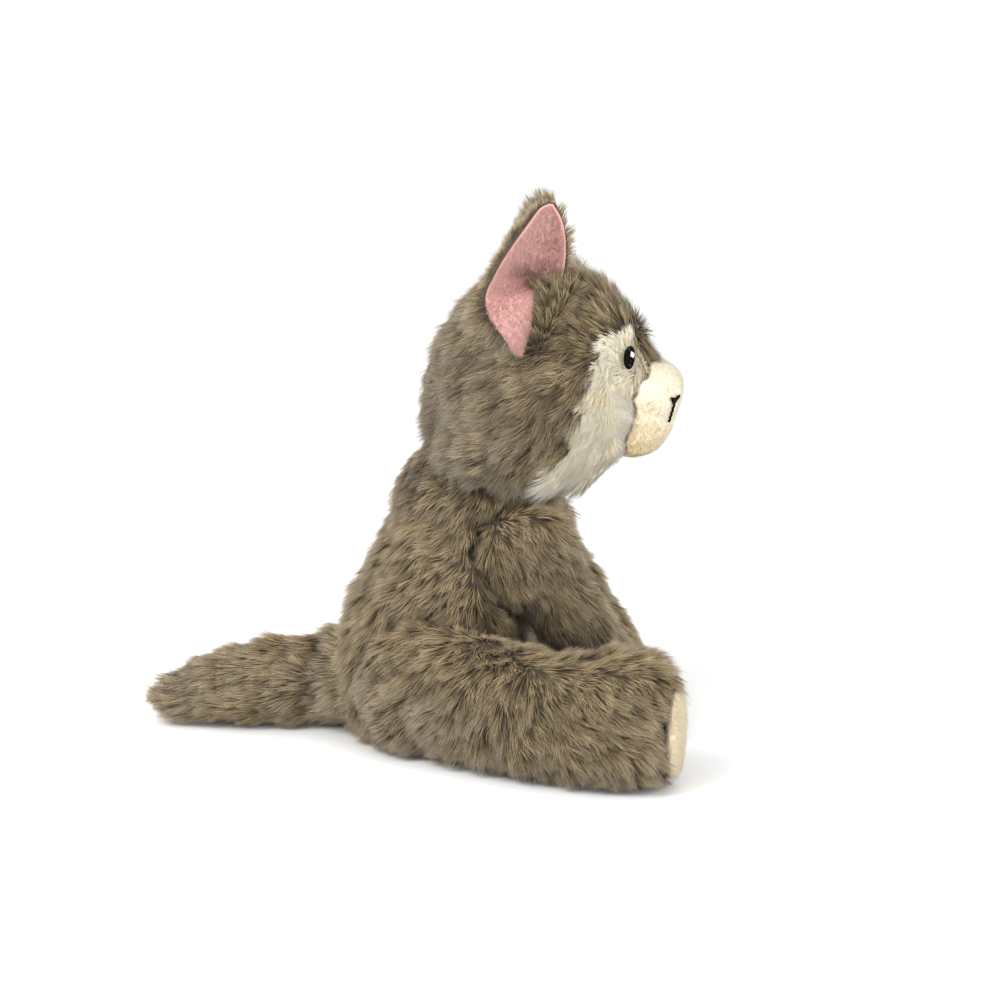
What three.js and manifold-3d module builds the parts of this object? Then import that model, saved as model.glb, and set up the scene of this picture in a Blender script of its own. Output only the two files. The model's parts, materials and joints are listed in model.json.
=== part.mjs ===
// Sitting plush cat, about 25 cm tall, as the separate sewn and stuffed pieces it is made of.
// Millimetres. +X is the way the cat faces, +Y is its left side, +Z is up, and Z = 0 is the floor.
import * as THREE from 'three';
import { mergeVertices } from 'three/addons/utils/BufferGeometryUtils.js';
import Module from 'manifold-3d';

const wasm = await Module();
wasm.setup();

// ---------------------------------------------------------------- driving dimensions

const GAP = 0.3; // between two pieces that touch
const PLUSH = 4; // long pile fabric: backing and the dense foot of its pile
const SHORT_PLUSH = 2.7; // short pile fabric of the muzzle, the ear linings and the soles
const TURNING_CLEARANCE = 1.5; // round a soft joint, so that its faceted ball can turn
const SLIVER = 0.1; // facets finer than this are merged after a cut

const NECK = new THREE.Vector3(28, 0, 108); // the head turns and nods about this point
const NECK_RADIUS = 38;
const SHOULDER = new THREE.Vector3(50, -31, 88);
const SHOULDER_RADIUS = 26;
const SHOULDER_HALF_WIDTH = 17;
const HIP = new THREE.Vector3(6, -48, 31);
const HIP_RADIUS = 32;
const HIP_HALF_WIDTH = 20;
const TAIL_ROOT = new THREE.Vector3(-30, 0, 24);
const TAIL_RADIUS = 26;
const NECK_CORE = 19; // radius of the ball of firm stuffing in the neck
const STITCHING_HOLE = 9; // radius of the hole through which a limb is stuffed and sewn on

const SEAT_MIDDLE = 9; // along X, the middle of the panel the cat sits on
const HEAD_YAW = -6; // degrees, the head looks a little to its right
const MUZZLE_YAW = -14; // degrees, the muzzle is sewn on a little further round,
const NOSE_YAW = -22; // and the nose and the mouth further still
const MUZZLE_BACK = 96; // the muzzle is turned about the upright line here
const HEAD_BASE = 121; // height of the head's lower edge
const LEFT_SPLAY = 36; // degrees, the left hind leg lies this much further out than the right
const FOOT_YAW = -12; // degrees, the toes point outwards
const FOOT_FRONT = 131; // along the foot's own direction, where the sole is sewn on

const EYE = new THREE.Vector3(101.1, -30.3, 180.9);
const EYE_BEARING = THREE.MathUtils.degToRad(-35); // it looks forwards and outwards,
const EYE_LEAN = THREE.MathUtils.degToRad(14); // a little upwards,
const EYE_SLANT = THREE.MathUtils.degToRad(14); // and its top leans inwards

const EAR_FRONT = new THREE.Vector3(69.7, -27, 216); // front end of the ear's seam
const EAR_BACK = new THREE.Vector3(52.5, -55.5, 188); // rear end of the ear's seam
const EAR_TIP = new THREE.Vector3(62, -34, 247);
const EAR_BEAD = 4; // radius of the rolled seam that the ear hinges on

// Level ellipses: height, middle along X, half depth along X, half width along Y.
const TORSO_LEVELS = [
  { z: -14, x: 7, depth: 0, width: 0 },
  { z: -8, x: 7, depth: 26, width: 36 },
  { z: 0, x: 7, depth: 36, width: 50 },
  { z: 16, x: 4, depth: 43.5, width: 61 },
  { z: 38, x: 4, depth: 44.5, width: 62 },
  { z: 62, x: 9, depth: 41.5, width: 57 },
  { z: 86, x: 19, depth: 38, width: 48 },
  { z: 104, x: 26.5, depth: 37.5, width: 40 },
  { z: 116, x: 29, depth: 33, width: 34 },
  { z: 124, x: 30, depth: 0, width: 0 },
];
const HEAD_LEVELS = [
  { z: 106, x: 44, depth: 0, width: 0 },
  { z: 111, x: 45, depth: 26, width: 28 },
  { z: 121, x: 46, depth: 38, width: 42 },
  { z: 136, x: 52, depth: 47, width: 52 },
  { z: 153, x: 56, depth: 52, width: 55 },
  { z: 172, x: 58.5, depth: 52, width: 54 },
  { z: 190, x: 59.5, depth: 45.5, width: 47 },
  { z: 205, x: 59.5, depth: 34, width: 36 },
  { z: 216, x: 58.5, depth: 20, width: 21 },
  { z: 221, x: 58, depth: 0, width: 0 },
];
const MUZZLE_LEVELS = [
  { z: 129.5, x: 100, depth: 0, width: 0 },
  { z: 133.5, x: 101, depth: 11, width: 16 },
  { z: 141.5, x: 102, depth: 15.5, width: 24 },
  { z: 151.5, x: 103, depth: 17.5, width: 27 },
  { z: 161.5, x: 104, depth: 19.5, width: 28 },
  { z: 169.5, x: 104, depth: 18.5, width: 25 },
  { z: 175.5, x: 103, depth: 12, width: 16 },
  { z: 178.5, x: 102, depth: 0, width: 0 },
];

// Routes of the limbs on the right side, and the half width and half height along each.
const ARM_PATH = [SHOULDER, new THREE.Vector3(71, -32.5, 60), new THREE.Vector3(88, -31, 28),
  new THREE.Vector3(94, -31, 18.5)];
const ARM_SECTIONS = [[16, 20], [17, 18.5], [18, 18], [17, 18]];
const LEG_PATH = [HIP, new THREE.Vector3(38, -69, 30), new THREE.Vector3(70, -88, 29),
  new THREE.Vector3(94, -94, 31)];
const LEG_SECTIONS = [[22, 30], [25, 29], [24, 28.5], [25, 32]];
const TAIL_PATH = [TAIL_ROOT, new THREE.Vector3(-60, 0, 21.5), new THREE.Vector3(-92, 0, 18.5),
  new THREE.Vector3(-112.2, 0, 13)];
const TAIL_SECTIONS = [[19, 20], [21, 22.5], [19, 19.5], [13, 13]];

// ---------------------------------------------------------------- solids

// A closed geometry as a solid that can be cut and joined.
function solid(geometry) {
  const bare = geometry.clone();
  bare.deleteAttribute('normal');
  bare.deleteAttribute('uv');
  const merged = mergeVertices(bare, 1e-4);
  const corners = merged.index.array;
  const triangles = [];
  for (let i = 0; i < corners.length; i += 3) {
    const [a, b, c] = [corners[i], corners[i + 1], corners[i + 2]];
    if (a !== b && b !== c && c !== a) triangles.push(a, b, c);
  }
  const vertProperties = merged.attributes.position.array;
  const triVerts = new Uint32Array(triangles);
  return new wasm.Manifold(new wasm.Mesh({ numProp: 3, vertProperties, triVerts }));
}

function geometryOf(body) {
  const { vertProperties, triVerts, numProp } = body.simplify(SLIVER).getMesh();
  if (numProp !== 3) throw new Error('a solid holds positions only');
  const geometry = new THREE.BufferGeometry();
  geometry.setAttribute('position', new THREE.BufferAttribute(vertProperties, 3));
  geometry.setIndex(new THREE.BufferAttribute(triVerts, 1));
  geometry.computeVertexNormals();
  return geometry;
}

// Sends every vertex of a geometry to where place(vertex) says.
function reshape(geometry, place) {
  const positions = geometry.attributes.position;
  const vertex = new THREE.Vector3();
  for (let i = 0; i < positions.count; i += 1) {
    vertex.fromBufferAttribute(positions, i);
    const to = place(vertex);
    positions.setXYZ(i, to.x, to.y, to.z);
  }
  return geometry;
}

// A rounded body built up from level ellipses; skin shrinks it all round.
function stack(levels, skin = 0, sides = 16) {
  const middles = new THREE.SplineCurve(levels.map((l) => new THREE.Vector2(l.x, l.z)));
  const sizes = new THREE.SplineCurve(levels.map((l) => new THREE.Vector2(l.depth, l.width)));
  const low = levels[0].z;
  const high = levels[levels.length - 1].z;
  const squeeze = (high - low - 2 * skin) / (high - low);
  const rings = levels.length - 1;
  const profile = [];
  for (let i = 0; i <= rings; i += 1) {
    const pole = i === 0 || i === rings;
    profile.push(new THREE.Vector2(pole ? 0 : 1, i / rings));
  }
  return reshape(new THREE.LatheGeometry(profile, sides), (p) => {
    const t = THREE.MathUtils.clamp(p.y, 0, 1);
    const middle = middles.getPoint(t);
    const size = sizes.getPoint(t);
    return new THREE.Vector3(
      middle.x + p.x * Math.max(size.x - skin, 0.5),
      -p.z * Math.max(size.y - skin, 0.5),
      low + skin + (middle.y - low) * squeeze,
    );
  });
}

// A stuffed tube with round ends along a route; skin shrinks it all round.
function tube(path, sections, skin = 0, sides = 10) {
  const route = new THREE.CatmullRomCurve3(path);
  const sizes = new THREE.SplineCurve(sections.map(([w, h]) => new THREE.Vector2(w, h)));
  const rings = 4;
  const profile = [new THREE.Vector2(0, -1)];
  for (const angle of [60, 30]) {
    const a = THREE.MathUtils.degToRad(angle);
    profile.push(new THREE.Vector2(Math.cos(a), -Math.sin(a)));
  }
  for (let i = 0; i <= rings; i += 1) profile.push(new THREE.Vector2(1, i / rings));
  for (const angle of [30, 60]) {
    const a = THREE.MathUtils.degToRad(angle);
    profile.push(new THREE.Vector2(Math.cos(a), 1 + Math.sin(a)));
  }
  profile.push(new THREE.Vector2(0, 2));
  const up = new THREE.Vector3(0, 0, 1);
  return reshape(new THREE.LatheGeometry(profile, sides), (p) => {
    const t = THREE.MathUtils.clamp(p.y, 0, 1);
    const size = sizes.getPoint(t).subScalar(skin);
    const along = route.getTangent(t);
    const side = up.clone().cross(along).normalize();
    const rise = along.clone().cross(side);
    return route.getPoint(t)
      .addScaledVector(along, (p.y - t) * (size.x + size.y) / 2)
      .addScaledVector(side, p.x * size.x)
      .addScaledVector(rise, -p.z * size.y);
  });
}

// A ball that is round about the Y axis, and halfWidth to each side along it.
function ball(centre, radius, halfWidth = radius, sides = 14) {
  const geometry = new THREE.SphereGeometry(radius, sides, sides / 2);
  geometry.scale(1, halfWidth / radius, 1);
  geometry.translate(centre.x, centre.y, centre.z);
  return geometry;
}

function box(x0, x1, y0, y1, z0, z1) {
  const geometry = new THREE.BoxGeometry(x1 - x0, y1 - y0, z1 - z0);
  geometry.translate((x0 + x1) / 2, (y0 + y1) / 2, (z0 + z1) / 2);
  return geometry;
}

// Everything above a height.
const above = (height) => solid(box(-200, 200, -200, 200, height, 300));

// Everything on one side of the cat's middle plane: side is 1 for its left, -1 for its right.
function half(side) {
  const edge = GAP / 2;
  return side > 0
    ? solid(box(-200, 200, edge, 200, -50, 300))
    : solid(box(-200, 200, -200, -edge, -50, 300));
}

// A hole bored along Y into a soft joint from the middle of the cat.
function stitchingHole(centre) {
  const length = Math.abs(centre.y) - 4;
  const geometry = new THREE.CylinderGeometry(STITCHING_HOLE, STITCHING_HOLE, length, 10);
  geometry.translate(centre.x, centre.y + length / 2, centre.z);
  return solid(geometry);
}

const mirrored = (body) => body.mirror([0, 1, 0]);
const onSide = (body, side) => (side > 0 ? mirrored(body) : body);

// Puts a piece of the right hind leg on its side. The left leg is also splayed about its hip.
function onHip(body, side) {
  if (side < 0) return body;
  return mirrored(body).translate([-HIP.x, HIP.y, 0]).rotate([0, 0, LEFT_SPLAY])
    .translate([HIP.x, -HIP.y, 0]);
}

// ---------------------------------------------------------------- pieces

const FUR = { color: 0x8b7a60, roughness: 0.95, metalness: 0 };
const WHITE_FUR = { color: 0xe4dfd0, roughness: 0.95, metalness: 0 };
const CREAM = { color: 0xefe8d3, roughness: 0.9, metalness: 0 };
const PINK = { color: 0xcf9c98, roughness: 0.9, metalness: 0 };
const THREAD = { color: 0x0c0a0a, roughness: 0.45, metalness: 0 };
const FIBRE = { color: 0xf2f2ee, roughness: 1, metalness: 0 };
const COTTON = { color: 0xd9d2c0, roughness: 0.9, metalness: 0 };

const cat = new THREE.Group();

function add(group, name, body, finish) {
  const mesh = new THREE.Mesh(geometryOf(body), new THREE.MeshStandardMaterial(finish));
  mesh.name = name;
  group.add(mesh);
}

// The hollows that the torso leaves for the balls of the arms, the legs and the tail.
function torsoSockets() {
  const wide = TURNING_CLEARANCE;
  let sockets = solid(ball(TAIL_ROOT, TAIL_RADIUS + wide));
  for (const side of [-1, 1]) {
    const shoulder = ball(SHOULDER, SHOULDER_RADIUS + 2 * wide, SHOULDER_HALF_WIDTH + wide);
    const hip = ball(HIP, HIP_RADIUS + 3 * wide, HIP_HALF_WIDTH + 3 * wide);
    const thigh = tube(LEG_PATH, LEG_SECTIONS, -3 * wide);
    sockets = sockets.add(onSide(solid(shoulder), side))
      .add(onHip(solid(hip).add(solid(thigh)), side));
  }
  return sockets;
}

const neckBall = (radius) => solid(ball(NECK, radius, radius, 18));

// The torso's volume with the dome of its neck, shrunk all round by skin.
function torsoVolume(skin) {
  const dome = neckBall(NECK_RADIUS - skin).intersect(above(NECK.z - 6));
  const trunk = solid(stack(TORSO_LEVELS, skin)).subtract(above(NECK.z));
  return trunk.add(dome).intersect(above(skin));
}

function addTorso() {
  const seatThickness = PLUSH;
  const sockets = torsoSockets();
  const seat = solid(new THREE.CylinderGeometry(1, 1, seatThickness, 20)
    .rotateX(Math.PI / 2).scale(21, 23, 1).translate(SEAT_MIDDLE, 0, seatThickness / 2));
  const seatHole = solid(new THREE.CylinderGeometry(1, 1, 3 * seatThickness, 20)
    .rotateX(Math.PI / 2).scale(21 + GAP, 23 + GAP, 1).translate(SEAT_MIDDLE, 0, 0));
  const shell = torsoVolume(0).subtract(torsoVolume(PLUSH)).subtract(sockets).subtract(seatHole);
  add(cat, 'torso_panel_left', shell.intersect(half(1)), FUR);
  add(cat, 'torso_panel_right', shell.intersect(half(-1)), FUR);
  add(cat, 'seat_panel', seat, FUR);

  const pouchHeight = 14;
  const pouchBase = PLUSH + GAP + 0.1;
  const pouch = (spare) => solid(new THREE.CylinderGeometry(0.9, 1, pouchHeight + spare, 16)
    .rotateX(Math.PI / 2).scale(15 + spare, 20 + spare, 1)
    .translate(16, 0, pouchBase + (pouchHeight + spare) / 2));
  add(cat, 'pellet_pouch', pouch(0), COTTON);
  const stuffingSockets = sockets.add(neckBall(NECK_CORE + TURNING_CLEARANCE));
  const pouchRoom = pouch(GAP).add(solid(box(10, 22, -6, 6, PLUSH, pouchBase + 4)));
  const stuffing = torsoVolume(PLUSH + GAP).subtract(stuffingSockets).subtract(pouchRoom);
  add(cat, 'torso_stuffing', stuffing.intersect(solid(box(-60, 80, -70, 70, 0, NECK.z + 4))), FIBRE);
  add(cat, 'neck_stuffing', neckBall(NECK_CORE), FIBRE);
}

// One limb: its volume shrunk by skin, as the ball at its root and the tube that leaves it.
function limbVolume(limb, skin) {
  const root = solid(ball(limb.root, limb.radius - skin, limb.halfWidth - skin));
  const length = solid(tube(limb.path, limb.sections, skin));
  return root.add(length).intersect(above(skin)).intersect(limb.front(skin));
}

function addLimb(limb, side) {
  const name = side > 0 ? 'left' : 'right';
  const cover = limbVolume(limb, 0).subtract(limbVolume(limb, PLUSH))
    .subtract(stitchingHole(limb.root));
  const stuffing = limbVolume(limb, PLUSH + GAP);
  add(cat, `${limb.name}_cover_${name}`, limb.place(cover, side), FUR);
  add(cat, `${limb.name}_stuffing_${name}`, limb.place(stuffing, side), FIBRE);
}

// Everything behind the plane that the sole is sewn on.
function behindSole(skin) {
  const geometry = box(-300, FOOT_FRONT - skin, -300, 300, -100, 300);
  return solid(geometry.rotateZ(THREE.MathUtils.degToRad(FOOT_YAW)));
}

const ARM = {
  name: 'arm',
  root: SHOULDER,
  radius: SHOULDER_RADIUS,
  halfWidth: SHOULDER_HALF_WIDTH,
  path: ARM_PATH,
  sections: ARM_SECTIONS,
  front: () => above(-50),
  place: onSide,
};
const LEG = {
  name: 'leg',
  root: HIP,
  radius: HIP_RADIUS,
  halfWidth: HIP_HALF_WIDTH,
  path: LEG_PATH,
  sections: LEG_SECTIONS,
  front: behindSole,
  place: onHip,
};

function addSole(side) {
  const profile = [[0, 0], [0.94, 0], [1, 0.35], [0.9, 0.75], [0.6, 1], [0, 1.1]]
    .map(([r, h]) => new THREE.Vector2(r, h));
  const pad = new THREE.LatheGeometry(profile, 16)
    .rotateZ(-Math.PI / 2) // its axis now points along +X
    .scale(SHORT_PLUSH + 1.5, 17, 20);
  const foot = LEG_PATH[LEG_PATH.length - 1];
  const forward = THREE.MathUtils.degToRad(FOOT_YAW);
  const across = -Math.sin(forward) * foot.x + Math.cos(forward) * foot.y;
  pad.translate(FOOT_FRONT + GAP, across, 25).rotateZ(forward);
  const name = side > 0 ? 'left' : 'right';
  add(cat, `sole_pad_${name}`, onHip(solid(pad), side), CREAM);
}

function addTail() {
  const tail = (skin) => solid(ball(TAIL_ROOT, TAIL_RADIUS - skin))
    .add(solid(tube(TAIL_PATH, TAIL_SECTIONS, skin))).intersect(above(skin));
  const hole = solid(new THREE.CylinderGeometry(STITCHING_HOLE, STITCHING_HOLE, 20, 10)
    .rotateZ(Math.PI / 2).translate(TAIL_ROOT.x + 20, 0, TAIL_ROOT.z));
  add(cat, 'tail_cover', tail(0).subtract(tail(PLUSH)).subtract(hole), FUR);
  add(cat, 'tail_stuffing', tail(PLUSH + GAP), FIBRE);
}

// ---------------------------------------------------------------- head

// The head is built looking along +X and then turned with everything on it.
const head = new THREE.Group();

// The white face mask of the right side, as a slab across the head: its rear edge runs from the
// brow down behind the cheek to the throat. A strip beside the middle plane stays brown above
// the muzzle.
function maskRegion(side, grow) {
  const outline = new THREE.Shape();
  outline.moveTo(140, 196 + grow);
  outline.lineTo(96, 196 + grow);
  outline.lineTo(84 - grow, 186 + grow);
  outline.quadraticCurveTo(72 - grow, 160, 71 - grow, 146);
  outline.lineTo(60 - grow, 127);
  outline.lineTo(60 - grow, 90);
  outline.lineTo(140, 90);
  outline.closePath();
  const slab = new THREE.ExtrudeGeometry(outline, { depth: 90, bevelEnabled: false });
  slab.rotateX(Math.PI / 2); // the outline now stands in the XZ plane and runs towards -Y
  slab.translate(0, -GAP / 2 + grow, 0);
  const blaze = solid(box(60, 140, -9 + grow, 9, 168 + grow, 260));
  return onSide(solid(slab).subtract(blaze), side);
}

// The ear's own directions: along its seam to the front, up its blade, and out of its lining.
function earDirections() {
  const along = EAR_FRONT.clone().sub(EAR_BACK).normalize();
  const middle = EAR_BACK.clone().add(EAR_FRONT).multiplyScalar(0.5);
  const front = along.clone().cross(EAR_TIP.clone().sub(middle)).normalize();
  const up = front.clone().cross(along);
  return { along, up, front, middle };
}

// Stands a geometry, drawn in XY with its thickness along Z, up on the ear's seam.
function onEar(geometry) {
  const { along, up, front, middle } = earDirections();
  const matrix = new THREE.Matrix4().makeBasis(along, up, front).setPosition(middle);
  return geometry.applyMatrix4(matrix);
}

function earBead(radius, spare = 0) {
  const length = EAR_FRONT.distanceTo(EAR_BACK) + spare;
  return solid(onEar(new THREE.CylinderGeometry(radius, radius, length, 12)
    .rotateZ(Math.PI / 2)));
}

function earBlade(inset, lift, thickness, z) {
  const outline = new THREE.Shape();
  outline.moveTo(20 - inset, lift);
  outline.quadraticCurveTo(31 - inset, 14, 35 - inset, 31 - inset);
  outline.quadraticCurveTo(33, 37 - inset, 27 - inset / 2, 36.5 - inset);
  outline.quadraticCurveTo(-6, 44 - inset, -18 + inset, 20);
  outline.quadraticCurveTo(-21.5 + inset, 10, -20 + inset, lift);
  outline.closePath();
  const options = { depth: thickness, bevelEnabled: false, curveSegments: 5 };
  return solid(onEar(new THREE.ExtrudeGeometry(outline, options).translate(0, 0, z)));
}

function addEar(side) {
  const name = side > 0 ? 'left' : 'right';
  const back = earBead(EAR_BEAD).add(earBlade(0, 0, PLUSH, -PLUSH / 2 - 1));
  const lining = earBlade(2, EAR_BEAD + 1.5, SHORT_PLUSH, PLUSH / 2 - 1 + GAP);
  add(head, `ear_back_${name}`, onSide(back, side), FUR);
  add(head, `ear_lining_${name}`, onSide(lining, side), PINK);
}

function addHeadCover() {
  const socket = neckBall(NECK_RADIUS + TURNING_CLEARANCE);
  const rim = above(HEAD_BASE);
  const volume = (skin) => solid(stack(HEAD_LEVELS, skin)).subtract(socket).intersect(rim);
  const grooves = earBead(EAR_BEAD + 1, 6);
  const bothGrooves = grooves.add(mirrored(grooves));
  const inside = solid(stack(HEAD_LEVELS, PLUSH));
  const shell = volume(0).subtract(inside).subtract(bothGrooves);
  const masks = maskRegion(-1, GAP).add(maskRegion(1, GAP));
  for (const side of [-1, 1]) {
    const name = side > 0 ? 'left' : 'right';
    add(head, `head_panel_${name}`, shell.subtract(masks).intersect(half(side)), FUR);
    const mask = shell.intersect(maskRegion(side, 0)).intersect(half(side));
    add(head, `face_mask_${name}`, mask, WHITE_FUR);
    addEar(side);
  }
  const stuffingGrooves = earBead(EAR_BEAD + 1, 6);
  const stuffing = volume(PLUSH + GAP).subtract(stuffingGrooves).subtract(mirrored(stuffingGrooves));
  add(head, 'head_stuffing', stuffing, FIBRE);
}

// The muzzle's volume before its back is fitted to the face; skin shrinks it all round.
function muzzleVolume(skin) {
  const forward = THREE.MathUtils.degToRad(MUZZLE_YAW);
  return solid(stack(MUZZLE_LEVELS, skin).translate(-MUZZLE_BACK, 0, 0)
    .rotateZ(forward).translate(MUZZLE_BACK, 0, 0));
}

// Puts a small piece, drawn facing +X at the origin, on the muzzle's front at a height.
function onMuzzle(geometry, out, height) {
  const forward = THREE.MathUtils.degToRad(NOSE_YAW);
  return geometry.translate(out - MUZZLE_BACK, 0, height).rotateZ(forward)
    .translate(MUZZLE_BACK, 0, 0);
}

function addFace() {
  const face = solid(stack(HEAD_LEVELS, -GAP - 0.2));
  const cover = muzzleVolume(0).subtract(muzzleVolume(SHORT_PLUSH)).subtract(face);
  add(head, 'muzzle', cover, CREAM);
  add(head, 'muzzle_stuffing', muzzleVolume(SHORT_PLUSH + GAP).subtract(face), FIBRE);

  const nose = new THREE.Shape();
  nose.moveTo(0, -2.6);
  nose.quadraticCurveTo(2.6, 0.4, 4.8, 1.9);
  nose.quadraticCurveTo(0, 0.4, -4.8, 1.9);
  nose.quadraticCurveTo(-2.6, 0.4, 0, -2.6);
  const patch = new THREE.ExtrudeGeometry(nose, { depth: 1, bevelEnabled: false, curveSegments: 4 });
  patch.rotateX(Math.PI / 2).rotateZ(Math.PI / 2); // stands upright, facing +X
  add(head, 'nose_embroidery', solid(onMuzzle(patch, 123.9, 159)), THREAD);

  const stitch = new THREE.CylinderGeometry(0.6, 0.6, 8, 8).rotateX(Math.PI / 2).rotateY(0.28);
  add(head, 'mouth_stitch', solid(onMuzzle(stitch, 123.9, 151.5)), THREAD);

  for (const side of [-1, 1]) {
    const eye = new THREE.CylinderGeometry(1, 1, 1, 16).rotateZ(Math.PI / 2)
      .scale(1, 4.6, 6.2).rotateX(EYE_SLANT)
      .rotateY(-EYE_LEAN).rotateZ(EYE_BEARING).translate(EYE.x, EYE.y, EYE.z);
    const name = side > 0 ? 'left' : 'right';
    add(head, `eye_${name}`, onSide(solid(eye), side), THREAD);
  }
}

addTorso();
for (const side of [-1, 1]) {
  addLimb(ARM, side);
  addLimb(LEG, side);
  addSole(side);
}
addTail();
addHeadCover();
addFace();

// Turn the finished head about the upright line through the neck.
const turned = new THREE.Group();
head.position.set(-NECK.x, -NECK.y, 0);
turned.add(head);
turned.rotation.z = THREE.MathUtils.degToRad(HEAD_YAW);
turned.position.set(NECK.x, NECK.y, 0);
cat.add(turned);

export default cat;
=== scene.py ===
# %% [markdown]
# # A sitting plush cat
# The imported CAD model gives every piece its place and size. This notebook dresses it as the real toy:
# stuffed skins made from the CAD solids, with long pile, short pile and embroidery grown on them.
# Everything is in metres: +X is the way the cat faces, +Y is its left side and Z = 0 is the floor.

import json
import math

import bpy
import numpy as np
from mathutils import Matrix, Vector
from mathutils.bvhtree import BVHTree
from mathutils.kdtree import KDTree

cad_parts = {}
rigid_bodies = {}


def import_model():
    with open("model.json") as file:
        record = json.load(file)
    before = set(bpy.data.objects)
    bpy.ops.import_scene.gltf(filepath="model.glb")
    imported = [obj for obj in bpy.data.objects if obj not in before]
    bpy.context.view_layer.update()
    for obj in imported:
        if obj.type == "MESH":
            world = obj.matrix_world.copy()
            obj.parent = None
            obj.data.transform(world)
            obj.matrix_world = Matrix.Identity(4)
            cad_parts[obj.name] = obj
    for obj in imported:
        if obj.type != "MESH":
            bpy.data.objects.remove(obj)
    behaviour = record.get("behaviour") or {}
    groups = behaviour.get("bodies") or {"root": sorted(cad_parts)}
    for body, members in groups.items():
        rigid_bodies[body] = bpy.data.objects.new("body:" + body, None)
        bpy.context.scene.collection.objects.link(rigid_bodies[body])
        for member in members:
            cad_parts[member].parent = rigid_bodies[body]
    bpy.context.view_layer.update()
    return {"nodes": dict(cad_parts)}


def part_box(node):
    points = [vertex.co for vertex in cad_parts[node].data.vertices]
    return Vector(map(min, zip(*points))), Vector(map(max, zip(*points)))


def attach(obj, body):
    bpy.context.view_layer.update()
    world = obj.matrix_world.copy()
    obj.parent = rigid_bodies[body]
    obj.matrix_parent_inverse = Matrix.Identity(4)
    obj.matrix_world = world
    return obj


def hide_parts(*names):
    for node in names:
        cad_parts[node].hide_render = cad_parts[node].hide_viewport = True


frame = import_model()
scene = bpy.context.scene

# %% [markdown]
# ## Camera
# A toy is often shown from one side and from a little above its eye. The camera could be aimed by a
# constraint, but a fixed place and turn are simpler to read: low on the cat's right side, looking
# a little down.

# %% Camera
camera_data = bpy.data.cameras.new("camera")
camera = bpy.data.objects.new("camera", camera_data)
scene.collection.objects.link(camera)
camera.location = (0.0384, -1.1, 0.33)
camera.rotation_euler = (math.radians(90 - 11.4), 0, 0)
camera_data.lens = 86.4
camera_data.sensor_width = 36
scene.camera = camera
print("camera at", tuple(camera.location))

# %% [markdown]
# ## Floor
# A studio floor has no far edge in sight. A curved sweep could hide the edge, but one plane, large
# enough to run out of view, does the same with four corners.

# %% Floor
bpy.ops.mesh.primitive_plane_add(size=40, location=(0, 0, 0))
floor = bpy.context.object
floor.name = "floor"
print("floor", floor.dimensions.x, "m wide")

# %% [markdown]
# ## Light
# Pile looks soft only in soft light. A white sky lights it all round, and a large key lamp and a
# weaker fill lamp give it some shape. Small lamps would be simpler, but they draw hard shadows.

# %% Light
scene.view_settings.view_transform = "Standard"
world = bpy.data.worlds.new("white sky")
world.use_nodes = True
world.node_tree.nodes["Background"].inputs["Color"].default_value = (1, 1, 1, 1)
world.node_tree.nodes["Background"].inputs["Strength"].default_value = 1.08
scene.world = world


def lamp(name, place, target, size, power):
    """A square soft lamp at a place, turned to face a target."""
    bpy.ops.object.light_add(type="AREA", location=place)
    made = bpy.context.object
    made.name = name
    made.data.size = size
    made.data.energy = power
    made.rotation_euler = (Vector(target) - Vector(place)).to_track_quat("-Z", "Y").to_euler()
    return made


lamp("key lamp", (-0.75, -0.8, 1.1), (0, 0, 0.1), 0.7, 13)
lamp("fill lamp", (0.9, -1.1, 0.7), (0, 0, 0.1), 0.9, 8)

# %% [markdown]
# ## Finishes
# Colours are written as hex codes, and nodes are added by one function, so every finish reads the same
# way. Each pile is one material. Its fibres carry a map of their own: across is how light the fibre is,
# and along is how far from root to tip. Dark roots and pale tips give the coat its depth.

# %% Colours and nodes


def linear(code):
    """An sRGB hex colour as linear red, green, blue and alpha."""
    parts = [int(code[i : i + 2], 16) / 255 for i in (1, 3, 5)]
    return (*[p / 12.92 if p <= 0.04045 else ((p + 0.055) / 1.055) ** 2.4 for p in parts], 1.0)


def add(tree, kind, inputs=None, **settings):
    """Adds a node. A socket in inputs is linked, and anything else is set."""
    made = tree.nodes.new(kind)
    for name, value in settings.items():
        setattr(made, name, value)
    for name, value in (inputs or {}).items():
        if isinstance(value, bpy.types.NodeSocket):
            tree.links.new(value, made.inputs[name])
        else:
            made.inputs[name].default_value = value
    return made


def blank(name, **constants):
    """A new material whose shader has these constants set on it: (material, tree, shader)."""
    material = bpy.data.materials.new(name)
    material.use_nodes = True
    shader = material.node_tree.nodes["Principled BSDF"]
    for key, value in constants.items():
        socket = key.replace("_", " ").title().replace("Ior", "IOR")
        shader.inputs[socket].default_value = value
    return material, material.node_tree, shader


# %% [markdown]
# ## Pile finishes
# Long pile is darker at its roots, where little light gets in, and each fibre has a tint of its own.
# A noise over the whole coat would not follow the fibres, so two colour ramps read the map that
# every fibre carries, and their colours are multiplied.

# %% Pile finishes


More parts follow.
